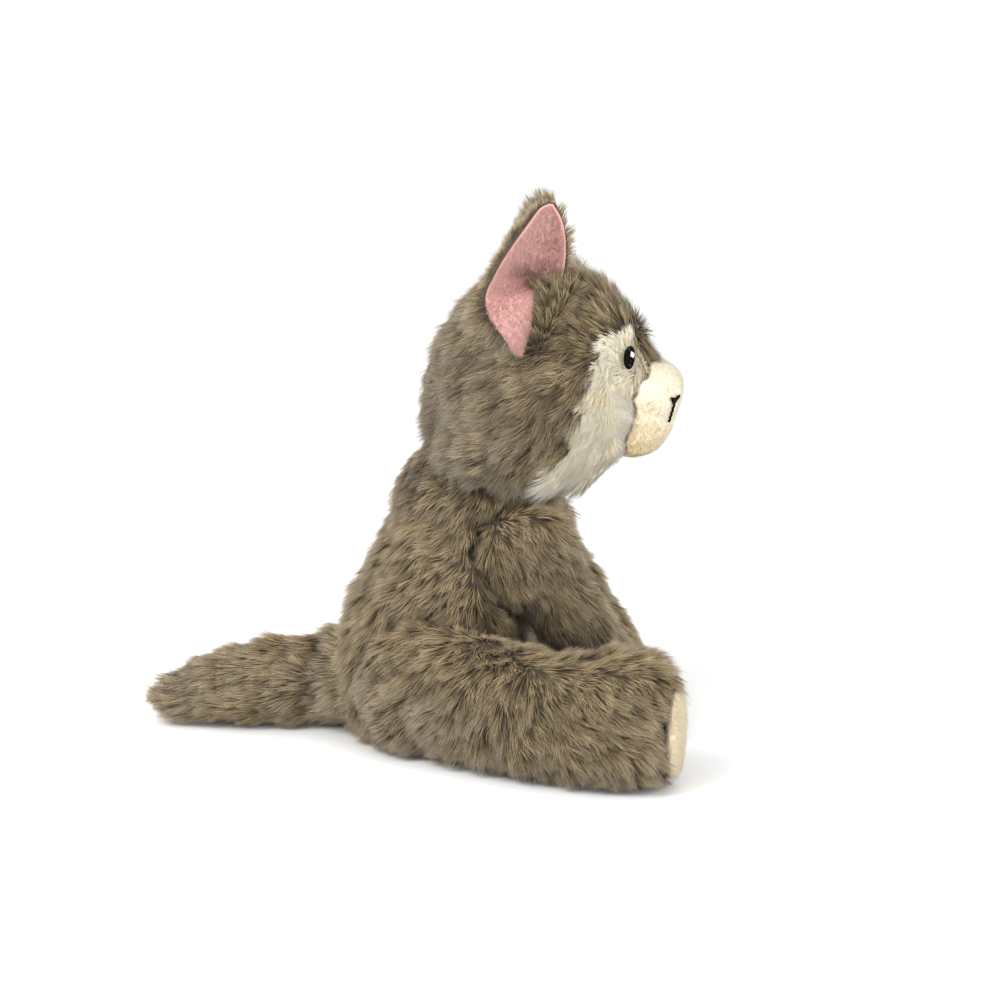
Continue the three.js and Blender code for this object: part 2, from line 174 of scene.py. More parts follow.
def pile(name, stops, tints, sheen=0.15):
    """Pile with colour stops from root to tip, whose fibres are dyed from one tint to another."""
    material, tree, shader = blank(name, roughness=0.85, sheen_weight=sheen, sheen_roughness=0.5)
    fibre = add(tree, "ShaderNodeUVMap", uv_map="OFBake")
    split = add(tree, "ShaderNodeSeparateXYZ", {"Vector": fibre.outputs["UV"]})
    along = add(tree, "ShaderNodeValToRGB", {"Fac": split.outputs["Y"]})
    elements = along.color_ramp.elements
    while len(elements) < len(stops):
        elements.new(0.5)
    for element, (place, colour) in zip(elements, stops):
        element.position = place
        element.color = linear(colour)
    across = add(tree, "ShaderNodeValToRGB", {"Fac": split.outputs["X"]})
    for element, colour in zip(across.color_ramp.elements, tints):
        element.color = linear(colour)
    toned = add(tree, "ShaderNodeVectorMath", {0: along.outputs["Color"], 1: across.outputs["Color"]},
        operation="MULTIPLY")
    tree.links.new(toned.outputs["Vector"], shader.inputs["Base Color"])
    return material


brown_pile = pile("brown long pile",
    [(0.0, "#150f07"), (0.3, "#655338"), (0.7, "#c0a87e"), (1.0, "#ffefcd")], ("#776e5d", "#ffffff"))
white_pile = pile("white long pile",
    [(0.0, "#f2e4c0"), (0.3, "#fdf5e0"), (0.7, "#fffcf0"), (1.0, "#fffefa")], ("#f5ebcf", "#ffffff"))
cream_pile = pile("cream short pile",
    [(0.0, "#e6dbbf"), (0.4, "#eee4cc"), (1.0, "#f4ebd6")], ("#efdfbd", "#ffffff"))
pink_pile = pile("pink short pile",
    [(0.0, "#c18d86"), (0.4, "#d8a8a1"), (1.0, "#eac6bf")], ("#e8d4d1", "#ffffff"))

fibre_filling = pile("fibre filling", [(0.0, "#d8d6cf"), (1.0, "#fbfaf6")], ("#efece4", "#ffffff"), 0.3)


print("pile finishes", [m.name for m in bpy.data.materials])

# %% [markdown]
# ## Thread and floor finishes
# Embroidery thread is dyed right through and has a fine twist. The threads are far too thin to model
# their twist, so a fine grain raises it and varies the dye a little.

# %% Thread and floor finishes


def yarn(name, dark, light, roughness, shine):
    """Embroidery thread, dyed a little unevenly, with a fine grain raised on it."""
    material, tree, shader = blank(name, roughness=roughness, specular_ior_level=shine)
    place = add(tree, "ShaderNodeTexCoord")
    grain = add(tree, "ShaderNodeTexNoise", {"Vector": place.outputs["Object"], "Scale": 2500.0})
    bump = add(tree, "ShaderNodeBump",
        {"Height": grain.outputs["Fac"], "Strength": 0.3, "Distance": 0.0002})
    tree.links.new(bump.outputs["Normal"], shader.inputs["Normal"])
    dye = add(tree, "ShaderNodeValToRGB", {"Fac": grain.outputs["Fac"]})
    for element, colour in zip(dye.color_ramp.elements, (dark, light)):
        element.color = linear(colour)
    tree.links.new(dye.outputs["Color"], shader.inputs["Base Color"])
    return material


thread = yarn("black embroidery thread", "#040101", "#0c0707", 0.7, 0.06)
white_thread = yarn("white embroidery thread", "#ebe8e2", "#fbfaf7", 0.4, 0.5)

paper, tree, shader = blank("pale floor", roughness=0.9)
shader.inputs["Base Color"].default_value = (0.93, 0.93, 0.93, 1)
floor.data.materials.append(paper)
print("finishes", [m.name for m in bpy.data.materials])

# %% [markdown]
# ## Working by hand
# Small helpers for what is done again and again by hand: selecting, joining and applying modifiers.
# Each one deselects everything first, because an operator acts on all that is selected.

# %% Helpers


def pick(*objects):
    """Selects only these objects, the last of them active."""
    if bpy.context.object and bpy.context.object.mode != "OBJECT":
        bpy.ops.object.mode_set(mode="OBJECT")
    bpy.ops.object.select_all(action="DESELECT")
    for o in objects:
        o.select_set(True)
        bpy.context.view_layer.objects.active = o


def join(name, *objects):
    """Joins objects into the last one."""
    pick(*objects)
    if len(objects) > 1:
        bpy.ops.object.join()
    joined = bpy.context.object
    joined.name = name
    return joined


def apply(obj, kind, **settings):
    """Adds a modifier and applies it."""
    pick(obj)
    modifier = obj.modifiers.new(kind.title(), kind)
    for name, value in settings.items():
        setattr(modifier, name, value)
    bpy.ops.object.modifier_apply(modifier=modifier.name)


# %% [markdown]
# ## Reading and moving points
# A skin has thousands of points. Going through them one by one in Python is slow, so they are read
# and written all at once as arrays, and every shape rule works on whole arrays.

# %% Reading and moving points


def points(obj):
    """Every vertex of a mesh, as an array of rows."""
    co = np.empty(len(obj.data.vertices) * 3, np.float32)
    obj.data.vertices.foreach_get("co", co)
    return co.reshape(-1, 3).astype(float)


def place_points(obj, co):
    """Moves every vertex of a mesh at once."""
    obj.data.vertices.foreach_set("co", np.asarray(co, np.float32).ravel())
    obj.data.update()


def surface(skin):
    """The points, point normals and triangles of a skin, with each triangle's area."""
    mesh = skin.data
    mesh.calc_loop_triangles()
    triangles = np.empty(len(mesh.loop_triangles) * 3, np.int32)
    mesh.loop_triangles.foreach_get("vertices", triangles)
    triangles = triangles.reshape(-1, 3)
    normals = np.empty(len(mesh.vertices) * 3, np.float32)
    mesh.vertices.foreach_get("normal", normals)
    co = points(skin)
    a, b, c = (co[triangles[:, i]] for i in range(3))
    area = np.linalg.norm(np.cross(b - a, c - a), axis=1) / 2
    return co, normals.reshape(-1, 3).astype(float), triangles, area


def unit(v):
    """Rows of vectors, each made one unit long."""
    return v / np.maximum(np.linalg.norm(v, axis=1, keepdims=True), 1e-9)


def everywhere(p):
    """True at every point."""
    return np.ones(len(p), bool)


def steady(x, y, z):
    """A comb that runs the same way all over."""
    return lambda p: np.tile([x, y, z], (len(p), 1))


def wobble(p, pitch, seed):
    """A smooth wandering value between about -1 and 1 at each point, with waves about pitch long."""
    rng = np.random.default_rng(seed)
    total = np.zeros(len(p))
    for _ in range(5):
        way = unit(rng.normal(size=(1, 3)))[0] * rng.uniform(0.6, 1.5) * 2 * np.pi / pitch
        total += np.sin(p @ way + rng.uniform(0, 6.28))
    return total / 3


# %% [markdown]
# ## Stuffed skins
# A soft part starts as copies of its CAD cover and stuffing, joined and remeshed into one closed skin.
# The skin is eased inwards to the backing of the cloth, so the pile ends at the CAD surface.
# A skin could be modelled again from a sphere, but copying the CAD keeps every outline.

# %% Skins


def closed_skin(name, nodes, voxel, ease, rounds):
    """One closed, smooth skin over CAD nodes, eased inwards by a distance."""
    copies = []
    for n in nodes:
        copy = bpy.data.objects.new(n + "_copy", frame["nodes"][n].data.copy())
        scene.collection.objects.link(copy)
        copies.append(copy)
    skin = join(name, *copies)
    skin.data.materials.clear()
    apply(skin, "REMESH", mode="VOXEL", voxel_size=voxel)
    pick(skin)
    bpy.ops.object.mode_set(mode="EDIT")
    bpy.ops.mesh.select_all(action="SELECT")
    bpy.ops.mesh.separate(type="LOOSE")
    bpy.ops.object.mode_set(mode="OBJECT")
    shells = sorted(bpy.context.selected_objects, key=lambda o: o.dimensions.length)
    skin = shells.pop()
    for inner in shells:
        bpy.data.objects.remove(inner)
    skin.name = name
    apply(skin, "SMOOTH", factor=0.5, iterations=rounds)
    if ease:
        apply(skin, "DISPLACE", strength=-ease, mid_level=0)
    apply(skin, "SMOOTH", factor=0.5, iterations=2)
    return skin


# %% [markdown]
# ## Stuffing
# Filling pushes the cloth out until it is tight, and the seams hold it back. An inflated sphere could
# stand for it, but Blender's cloth with air pressure keeps the shape of the panels. The push is capped,
# so a skin stays close to its CAD solid.

# %% Stuffing
skin_floor = 0.0012


def stuff(skin, pressure, cap, seam=None):
    """Fills a skin out with air. No point moves further than cap, and points on the seam stay."""
    before = points(skin)
    cloth = skin.modifiers.new("Cloth", "CLOTH")
    cloth.settings.use_pressure = True
    cloth.settings.uniform_pressure_force = pressure
    cloth.settings.mass = 0.15
    cloth.settings.effector_weights.gravity = 0
    cloth.settings.tension_stiffness = 12
    cloth.settings.bending_stiffness = 0.3
    if seam is not None:
        group = skin.vertex_groups.new(name="seam")
        group.add(np.flatnonzero(seam(before)).tolist(), 1.0, "REPLACE")
        cloth.settings.vertex_group_mass = "seam"
    for step in range(1, 21):
        scene.frame_set(step)
    shown = skin.evaluated_get(bpy.context.evaluated_depsgraph_get())
    after = np.empty(len(before) * 3, np.float32)
    shown.data.vertices.foreach_get("co", after)
    move = after.reshape(-1, 3) - before
    far = np.linalg.norm(move, axis=1, keepdims=True)
    skin.modifiers.clear()
    place_points(skin, before + move * np.minimum(1, cap / np.maximum(far, 1e-9)))
    scene.frame_set(1)
    print(skin.name, "filled out by up to", round(float(min(far.max(), cap)) * 1000, 1), "mm")


def finish_skin(skin, relief=0.0, settle=0.0):
    """Rounds a skin off, gives it soft lumps relief high, and settles its foot outwards on the floor."""
    apply(skin, "SUBSURF", levels=1)
    co, normals, _, _ = surface(skin)
    co = co + normals * (relief * (wobble(co, 0.021, 2) + 0.6 * wobble(co, 0.011, 4)))[:, None]
    foot = np.clip((0.022 - co[:, 2]) / 0.022, 0, 1)[:, None]
    co = co + normals * [1, 1, 0] * foot * settle
    co[:, 2] = np.maximum(co[:, 2], skin_floor)
    place_points(skin, co)
    pick(skin)
    bpy.ops.object.shade_smooth()
    return skin


# %% [markdown]
# ## The cat's skins
# Each stuffed part of the cat gets one skin: torso, head, neck, muzzle, arms, legs and tail. They could
# be one skin, but the real parts are sewn separately and move on their own.

# %% The cat's skins
neck = Vector((0.028, 0, 0.108))
middle_seam = lambda p: np.abs(p[:, 1]) < 0.002
skins = {}
skins["torso"] = closed_skin("torso_skin",
    ["torso_panel_left", "torso_panel_right", "seat_panel", "torso_stuffing", "pellet_pouch"],
    voxel=0.004, ease=0.002, rounds=4)
stuff(skins["torso"], pressure=3, cap=0.004, seam=middle_seam)
skins["head"] = closed_skin("head_skin",
    ["head_panel_left", "head_panel_right", "face_mask_left", "face_mask_right", "head_stuffing"],
    voxel=0.0035, ease=0.002, rounds=3)
stuff(skins["head"], pressure=3, cap=0.003, seam=middle_seam)
for side in ("left", "right"):
    skins["arm_" + side] = closed_skin("arm_skin_" + side,
        ["arm_cover_" + side, "arm_stuffing_" + side], voxel=0.004, ease=0.002, rounds=4)
    stuff(skins["arm_" + side], pressure=3, cap=0.004)
    skins["leg_" + side] = closed_skin("leg_skin_" + side,
        ["leg_cover_" + side, "leg_stuffing_" + side], voxel=0.004, ease=0.0012, rounds=3)
    stuff(skins["leg_" + side], pressure=3, cap=0.004)
skins["tail"] = closed_skin("tail_skin", ["tail_cover", "tail_stuffing"],
    voxel=0.004, ease=0.003, rounds=4)
stuff(skins["tail"], pressure=3, cap=0.003)
skins["neck"] = closed_skin("neck_skin", ["neck_stuffing"], voxel=0.003, ease=0.0005, rounds=3)
skins["muzzle"] = closed_skin("muzzle_skin", ["muzzle", "muzzle_stuffing"],
    voxel=0.002, ease=0.0005, rounds=8)
for name, skin in skins.items():
    finish_skin(skin, 0.0 if name == "muzzle" else 0.0009, 0.005 if name.startswith("leg") else 0.002)
print("skins", {n: len(s.data.polygons) for n, s in skins.items()})

# %% [markdown]
# ## Growing pile
# Real pile is thousands of fibres in locks. Each fibre here is a thin three-sided spike, rooted at
# random on a skin. Fibres near one guide lean the same way and gather at their tips, which makes a lock.
# The comb gives the way the pile was brushed, and tousle turns each lock away from it.

# %% Pile
root_depth = 0.0006
floor_gap = 0.0003


def ray_tree(skin):
    """A skin made ready for finding where a line meets it."""
    faces = [tuple(f.vertices) for f in skin.data.polygons]
    return BVHTree.FromPolygons(points(skin).tolist(), faces)


def clear_of(root, n, others, room):
    """Which roots are outside the other skins and at least room away from them."""
    clear = np.ones(len(root), bool)
    for other in others:
        co = points(other)
        near = ((root > co.min(0) - room) & (root < co.max(0) + room)).all(1) & clear
        tree = ray_tree(other)
        for i in np.flatnonzero(near):
            _, normal, _, _ = tree.ray_cast(root[i].tolist(), n[i].tolist())
            inside = normal is not None and normal.dot(Vector(n[i])) > 0
            if inside or (room and tree.find_nearest(root[i].tolist(), room)[0] is not None):
                clear[i] = False
    return clear


def share(value, root):
    """A setting that may be a number or a rule for each root."""
    return value(root) if callable(value) else np.full(len(root), float(value))


def colour_map(mesh, across, along):
    """Gives a mesh its place on its pile's colours: across the tints and along from root to tip."""
    layer = mesh.uv_layers.new(name="OFBake")
    layer.data.foreach_set("uv", np.stack([across, along], 1).astype(np.float32).ravel())


# %% [markdown]
# ## One coat of pile
# Hair particles could grow this coat, but they are not a mesh, and the finished cat has to be one.
# So the fibres are placed by rule and built as a mesh in one go. Each is closed: three corners under
# the cloth, and a tip.

# %% One coat of pile


def grow(skin, where, density, length, width, lift, comb, lock=16, tousle=24, gather=0.27,
         tone=0.5, spread=0.28, away=(), room=0.003, seed=1):
    """The pile on a skin as one mesh, where a rule says. Density is in fibres per square millimetre, and
    lengths are in metres. A lock is so many fibres, turns by about tousle degrees and gathers at its
    tips. Tone is how light the fibres are, and spread how much that varies. No fibre grows inside the
    skins in away, or within room of them."""
    rng = np.random.default_rng(seed)
    co, normals, triangles, area = surface(skin)
    count = int(area.sum() * 1e6 * density)
    chosen = rng.choice(len(area), count, p=area / area.sum())
    r1, r2 = np.sqrt(rng.random(count)), rng.random(count)
    weight = np.stack([1 - r1, r1 * (1 - r2), r1 * r2], 1)[:, :, None]
    root = (co[triangles[chosen]] * weight).sum(1)
    n = unit((normals[triangles[chosen]] * weight).sum(1))
    keep = rng.random(count) < share(where, root)
    keep[keep] = clear_of(root[keep], n[keep], away, room)
    root, n = root[keep], n[keep]
    count = len(root)

    guides = rng.choice(count, max(2, count // lock), replace=False)
    tree = KDTree(len(guides))
    for i, g in enumerate(guides):
        tree.insert(root[g], i)
    tree.balance()
    near = np.array([tree.find(p)[1] for p in root])
    turn = wobble(root[guides], 0.022, seed + 5) * 1.1 + rng.normal(size=len(guides)) * 0.4
    turn = (turn * math.radians(tousle))[near] + rng.normal(size=count) * 0.13
    longer = np.clip(1 + rng.normal(size=len(guides)) * 0.16, 0.6, 1.4)[near]
    higher = np.exp(rng.normal(size=len(guides)) * gather * 0.7)[near]
    lighter = (rng.normal(size=len(guides)) * 0.7 * spread)[near]

    way = comb(root)
    way = unit(way - n * (way * n).sum(1, keepdims=True))
    way = way * np.cos(turn)[:, None] + np.cross(n, way) * np.sin(turn)[:, None]
    side = unit(np.cross(way, n))
    run = share(length, root) * longer * (1 + rng.normal(size=count) * 0.08)
    rise = share(lift, root) * higher
    wide = width * rng.uniform(0.7, 1.25, count)
    offset = root - root[guides][near]
    stray = rng.normal(size=(count, 3)) * 0.0004

    base = root - n * root_depth
    half = (wide / 2)[:, None]
    tip = root + way * run[:, None] + n * rise[:, None] - offset * gather + stray
    co = np.stack([base - side * half, base + side * half, base + n * half * 1.1, tip], 1)
    co[:, :, 2] = np.maximum(co[:, :, 2], floor_gap)

    faces = np.array([(0, 1, 2), (0, 3, 1), (1, 3, 2), (2, 3, 0)])
    corner = (faces[None] + (np.arange(count) * 4)[:, None, None]).reshape(-1)

    mesh = bpy.data.meshes.new("pile")
    mesh.vertices.add(count * 4)
    mesh.loops.add(len(corner))
    mesh.polygons.add(len(corner) // 3)
    mesh.vertices.foreach_set("co", co.astype(np.float32).ravel())
    mesh.loops.foreach_set("vertex_index", corner.astype(np.int32))
    mesh.polygons.foreach_set("loop_start", np.arange(0, len(corner), 3, dtype=np.int32))
    mesh.polygons.foreach_set("use_smooth", np.ones(len(corner) // 3, bool))
    mesh.update(calc_edges=True)
    along = np.array([0.02, 0.02, 0.02, 0.98])[faces].reshape(-1)
    shade = share(tone, root) + lighter + rng.normal(size=count) * spread + (
        wobble(root, 0.035, seed + 9) + wobble(root, 0.012, seed + 10)) * spread * 0.35
    across = np.repeat(np.clip(shade, 0.02, 0.98), len(faces) * 3)
    colour_map(mesh, across, np.tile(along, count))
    made = bpy.data.objects.new("pile", mesh)
    scene.collection.objects.link(made)
    return made


# %% [markdown]
# ## Cloth under the pile
# Between the fibres the backing cloth shows a little. It could be left out under thick pile, but then
# light would leak through the coat, so each piece keeps its own stretch of the skin, coloured like its
# pile.

# %% Cloth under the pile


def painted(cloth, shade, tone=0.5):
    """Gives a cloth its own place on its pile's colour map."""
    corner = np.empty(len(cloth.data.loops), np.int32)
    cloth.data.loops.foreach_get("vertex_index", corner)
    across = share(tone, points(cloth))[corner]
    while cloth.data.uv_layers:
        cloth.data.uv_layers.remove(cloth.data.uv_layers[0])
    colour_map(cloth.data, across, np.full(len(corner), shade))
    return cloth


cloth_thickness = 0.0016


# The cloth takes its colour at a place between root and tip on its pile's map; a place near the root
# carries the roots' painted shade.
def backing(name, skin, part, shade=0.3, tone=0.5):
    """The stretch of a skin where part(face centre) is true. A part of a skin gets a thickness."""
    cloth = bpy.data.objects.new(name, skin.data.copy())
    scene.collection.objects.link(cloth)
    centre = np.empty(len(cloth.data.polygons) * 3, np.float32)
    cloth.data.polygons.foreach_get("center", centre)
    wanted = part(centre.reshape(-1, 3).astype(float))
    if not wanted.all():
        pick(cloth)
        bpy.ops.object.mode_set(mode="EDIT")
        bpy.ops.mesh.select_mode(type="FACE")
        bpy.ops.mesh.select_all(action="DESELECT")
        bpy.ops.object.mode_set(mode="OBJECT")
        cloth.data.polygons.foreach_set("select", ~wanted)
        bpy.ops.object.mode_set(mode="EDIT")
        bpy.ops.mesh.delete(type="FACE")
        bpy.ops.object.mode_set(mode="OBJECT")
        apply(cloth, "SOLIDIFY", thickness=cloth_thickness, offset=-1)
    return painted(cloth, shade, tone)


made_pieces = []


def piece(name, cloth, fibres, material, body, nodes):
    """Joins cloth and pile into one finished piece and gives it its place in the frame."""
    done = join(name, fibres, cloth)
    done.data.materials.clear()
    done.data.materials.append(material)
    done.data.polygons.foreach_set("material_index", np.zeros(len(done.data.polygons), np.int32))
    pick(done)
    bpy.ops.object.shade_smooth()
    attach(done, body)
    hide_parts(*nodes)
    triangles = sum(len(p.vertices) - 2 for p in done.data.polygons)
    made_pieces.append((name, triangles))
    print(name, triangles, "triangles")
    return done


# %% [markdown]
# ## Torso
# The torso is two panels that meet along the back and the chest, and a small seat panel underneath.
# Each could have a skin of its own, but stretches cut from one skin leave no gap at the seams.
# Its pile is brushed down and back, and lies short and flat inside the neck, where the head sits on it.

# %% Torso
limbs = [skins[n] for n in skins if n[:3] in ("arm", "leg", "tai")]
in_seat = lambda p: (((p[:, 0] - 0.009) / 0.022) ** 2 + (p[:, 1] / 0.024) ** 2 < 1) & (p[:, 2] < 0.004)
brushed_down = lambda p: np.array([-0.55, 0, -0.85]) + p[:, 1:2] * [0, 4, 0]
torso_top = 0.136
below_head = lambda p: np.clip((0.132 - p[:, 2]) / 0.014, 0.0, 1.0)
# Low on the neck the torso's fibres are a darker tone: painted shade in the crease under the head.
painted_crease_shade = lambda p: np.exp(-(((p[:, 2] - 0.124) / 0.007) ** 2))

for sign, side in ((1, "left"), (-1, "right")):
    half = lambda p: (p[:, 1] * sign > 0) & ~in_seat(p)
    cloth = backing("torso_cloth", skins["torso"], half)
    fibres = grow(skins["torso"], lambda p: half(p) * (p[:, 2] < torso_top), density=1.58,
        length=lambda p: 0.006 + 0.0038 * below_head(p), width=0.0005,
        lift=lambda p: 0.0012 + 0.0035 * below_head(p), comb=brushed_down, away=limbs,
        tone=lambda p: 0.76 - 0.45 * painted_crease_shade(p), seed=11 + sign)
    piece("torso_fur_" + side, cloth, fibres, brown_pile, "torso",
        ["torso_panel_" + side] + (["torso_stuffing", "pellet_pouch"] if sign > 0 else []))
cloth = backing("seat_cloth", skins["torso"], in_seat)
fibres = grow(skins["torso"], in_seat, density=1.2, length=0.006, width=0.0007, lift=0.001,
    comb=brushed_down, seed=15)
piece("seat_fur", cloth, fibres, brown_pile, "torso", ["seat_panel"])

# %% [markdown]
# ## Neck
# A wad of filling joins the head to the torso inside the fur. It is the torso's stuffing pushed up
# through the neck hole, so it is a lump with short wisps and no cloth round it. It could be left out at
# rest, but it shows a little when the head nods.

# %% Neck
wad = bpy.data.objects.new("wad", skins["neck"].data.copy())
scene.collection.objects.link(wad)
wisps = grow(skins["neck"], everywhere, density=0.9, length=0.006, width=0.0005, lift=0.0008,
    comb=brushed_down, tousle=90, seed=17)
piece("neck_filling", painted(wad, 0.5), wisps, fibre_filling, "neck",
    ["neck_stuffing"])

# %% [markdown]
# ## Arms
# An arm is a stuffed tube, sewn to the shoulder, and its pile runs down to the paw. The fibres stop
# where the torso or the thigh begins, as they would be pressed flat there. Low behind the thigh they
# are darker, because little light gets in.

# %% Arms


def fan(centre, pull):
    """A comb that fans out from a centre, with a steady pull added."""
    return lambda p: unit(p - np.array(centre)) + np.array(pull)


behind_thigh = lambda p: np.clip((0.066 - p[:, 2]) / 0.014, 0, 1) * (p[:, 0] < 0.084)

for sign, side in ((1, "left"), (-1, "right")):
    skin = skins["arm_" + side]
    others = [skins["torso"], skins["leg_" + side]]
    fibres = grow(skin, everywhere, density=2.15, length=0.0098, width=0.00052, lift=0.0035,
        comb=steady(0.5, 0, -0.85), away=others, room=0.0,
        tone=lambda p: 0.68 - 0.5 * behind_thigh(p), seed=21 + sign)
    piece("arm_fur_" + side, backing("arm_cloth", skin, everywhere), fibres, brown_pile,
        "arm_" + side, ["arm_cover_" + side, "arm_stuffing_" + side])

# %% [markdown]
# ## Legs
# The cat sits on its haunches, with its legs forwards. The pile was brushed forwards to the toes and
# back over the haunch, so the comb changes along the leg. One steady comb would be simpler, but it
# would lie the wrong way on one half. The left leg lies further out than the right one.

# %% Legs
left_splay = math.radians(36)
right_hip = np.array([0.006, -0.048, 0])
sole_edge = 0.0035


def brushed_leg(sign):
    """Forwards to the toes on the shin and back over the haunch, and always a little down."""
    turn = left_splay if sign > 0 else 0.0
    ahead = np.array([math.cos(turn), math.sin(turn), 0])
    out = np.array([-math.sin(turn), math.cos(turn), 0])
    hip = right_hip * [1, -sign, 0]

    def comb(p):
        reach = (p - hip) @ ahead
        lean = np.interp(reach, [0.0, 0.03, 0.065, 0.095, 0.112], [-0.7, 0.0, 1.0, 0.8, 0.0])[:, None]
        rise = np.clip((p[:, 2:3] - 0.03) / 0.03, -1, 1)
        return lean * ahead + 0.35 * sign * rise * out + np.array([0, 0, -0.75])

    return comb


def off_sole(p, side):
    """False in front of the foot, where the sole pad is sewn."""
    pad = frame["nodes"]["sole_pad_" + side]
    co = points(pad)
    out = (co.mean(0) - right_hip * [1, 1 if side == "right" else -1, 0]) * [1, 1, 0]
    out = out / np.linalg.norm(out)
    return (p - co.mean(0)) @ out < -sole_edge


for sign, side in ((1, "left"), (-1, "right")):
    skin = skins["leg_" + side]
    fibres = grow(skin, lambda p: off_sole(p, side), density=1.78, length=0.0100, width=0.00052,
        lift=0.0036, comb=brushed_leg(sign), away=[skins["torso"]], room=0.0, tone=0.68, seed=31 + sign)
    piece("leg_fur_" + side, backing("leg_cloth", skin, everywhere), fibres, brown_pile,
        "leg_" + side, ["leg_cover_" + side, "leg_stuffing_" + side])

# %% [markdown]
# ## Tail
# The tail lies on the floor, and the cloth has a fold along each side. Cloth simulation could make the
# fold, but not in a chosen place, so the skin's points are pushed in along a gentle wave instead.

# %% Tail
tail = skins["tail"]
fold_depth = 0.0022
co, normals, _, _ = surface(tail)
fold_height = 0.021 + 0.003 * np.sin(co[:, 0] * 70)
fold = np.exp(-(((co[:, 2] - fold_height) / 0.003) ** 2)) * (np.abs(co[:, 1]) > 0.006)
fold *= np.clip((-0.05 - co[:, 0]) / 0.01, 0, 1)
place_points(tail, co - normals * (fold_depth * fold)[:, None])
fibres = grow(tail, everywhere, density=2.1, length=0.0105, width=0.00052, lift=0.0034,
    comb=steady(-1, 0, -0.12), tousle=18, away=[skins["torso"]], room=0.0, tone=0.6, seed=41)
piece("tail_fur", backing("tail_cloth", tail, everywhere), fibres, brown_pile,
    "tail", ["tail_cover", "tail_stuffing"])

# %% [markdown]
# ## The head's own directions
# The head is turned a little to its right. Rules for the face could follow that turn, but then each
# side would need rules of its own. So points are first turned back, to where both sides mirror.

# %% The head's own directions
head_turn = math.radians(-6)
socket_radius = 0.0435
eye_clearance = [0.0066, 0.0066, 0.0076]


def turned(p, angle):
    """Points turned about the upright line through the neck."""
    x, y = p[:, 0] - neck.x, p[:, 1]
    c, s = math.cos(angle), math.sin(angle)
    return np.stack([x * c - y * s + neck.x, x * s + y * c, p[:, 2]], 1)


def in_head(p):
    """Points in the head's own directions, as if it had not been turned."""
    return turned(p, -head_turn)


def other_side(p):
    """Points mirrored to the other side of the head."""
    return turned(in_head(p) * [1, -1, 1], head_turn)


def on_mask(p):
    """Whether a point belongs to the white mask."""
    q = in_head(p)
    rear = np.interp(q[:, 2], [0.09, 0.127, 0.139, 0.152, 0.1625, 0.170, 0.177, 0.183, 0.190, 0.1901],
        [0.064, 0.066, 0.074, 0.078, 0.081, 0.083, 0.086, 0.087, 0.089, 0.3])
    blaze = (np.abs(q[:, 1]) < 0.009 + (q[:, 2] - 0.18) * 0.3) & (q[:, 2] > 0.166)
    return (q[:, 0] > rear + wobble(p, 0.012, 3) * 0.0012) & ~blaze


def in_socket(p):
    """Whether a point lies in the hollow that sits on the neck."""
    return np.linalg.norm(p - np.array(neck), axis=1) < socket_radius


def eye_room(p):
    """False on the two stitched eyes."""
    free = np.ones(len(p), bool)
    for side in ("left", "right"):
        low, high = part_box("eye_" + side)
        free &= np.linalg.norm((p - np.array((low + high) / 2)) / eye_clearance, axis=1) > 1
    return free


# %% [markdown]
# ## Ears
# Each ear is a sheet lofted between its rear edge and its front edge, both running from the lobe to the
# tip. It is hollowed into a cup, pinched at the root and folded out at the lobe. The edges could be
# drawn point by point, but a smooth line through a few points is easier to change.

# %% Ears
rear_edge = [(47, -58, 184), (41, -62, 191), (32, -65, 208), (37, -62, 221), (44, -56, 232),
    (51, -50, 241), (56, -44, 247), (61, -40, 249)]
front_edge = [(48, -57.5, 184), (52, -56, 196), (53, -50, 208), (56.5, -31, 214), (65, -32, 213),
    (67.5, -35, 226), (66, -38, 240), (61, -40, 249)]
hollow = [0, -3, 0, 9, 10, 8, 4, 0]
inwards = np.array([-0.1, 0.98, -0.1])
left_bend = np.array([0.007, 0, 0.004])
root_radius = 0.0045


def smooth_line(line, count):
    """A smooth line through points in millimetres, as so many points in metres."""
    p = np.array(line, float) / 1000
    p = np.vstack([2 * p[0] - p[1], p, 2 * p[-1] - p[-2]])
    t = np.linspace(0, len(line) - 1.001, count)
    i, f = t.astype(int), (t % 1)[:, None]
    a, b, c, d = (p[i + k] for k in range(4))
    bend, twist = 2 * a - 5 * b + 4 * c - d, 3 * b - a - 3 * c + d
    return 0.5 * (2 * b + (c - a) * f + bend * f**2 + twist * f**3)


# %% [markdown]
# ## Ear sheets
# An ear is two cloths sewn along the rim: short pink pile in front, and long brown pile behind. A bent
# plane could be shaped by hand, but the folded root needs both edges exact, so each cloth is a grid
# drawn between the two edges and hollowed in the middle.

# %% Ear sheets


def ear_sheet(name, side, wider, behind):
    """One cloth of the ear. wider grows it past its edges, and behind moves it back from the lining."""
    rows, columns = 44, 26
    rear, front = smooth_line(rear_edge, rows), smooth_line(front_edge, rows)
    depth = np.interp(np.linspace(0, 7, rows), range(8), hollow) / 1000
    w = np.linspace(-wider, 1 + wider, columns)[None, :, None]
    grid = rear[:, None] * (1 - w) + front[:, None] * w
    grid = grid + (depth[:, None] * np.sin(np.pi * np.clip(w[..., 0], 0, 1)))[..., None] * inwards
    co = grid.reshape(-1, 3)
    step = lambda r, c: r * columns + c
    quads = [(step(r, c), step(r, c + 1), step(r + 1, c + 1), step(r + 1, c))
        for r in range(rows - 1) for c in range(columns - 1)]
    if side == "left":
        co = other_side(co)
        bent = np.clip((co[:, 2:3] - 0.19) / 0.055, 0, 1)
        co = co - bent * left_bend
        quads = [q[::-1] for q in quads]
    mesh = bpy.data.meshes.new(name)
    mesh.from_pydata(co.tolist(), [], quads)
    sheet = bpy.data.objects.new(name, mesh)
    scene.collection.objects.link(sheet)
    apply(sheet, "SMOOTH", factor=0.5, iterations=5)
    if behind:
        apply(sheet, "DISPLACE", strength=-behind, mid_level=0)
    pick(sheet)
    bpy.ops.object.shade_smooth()
    return sheet


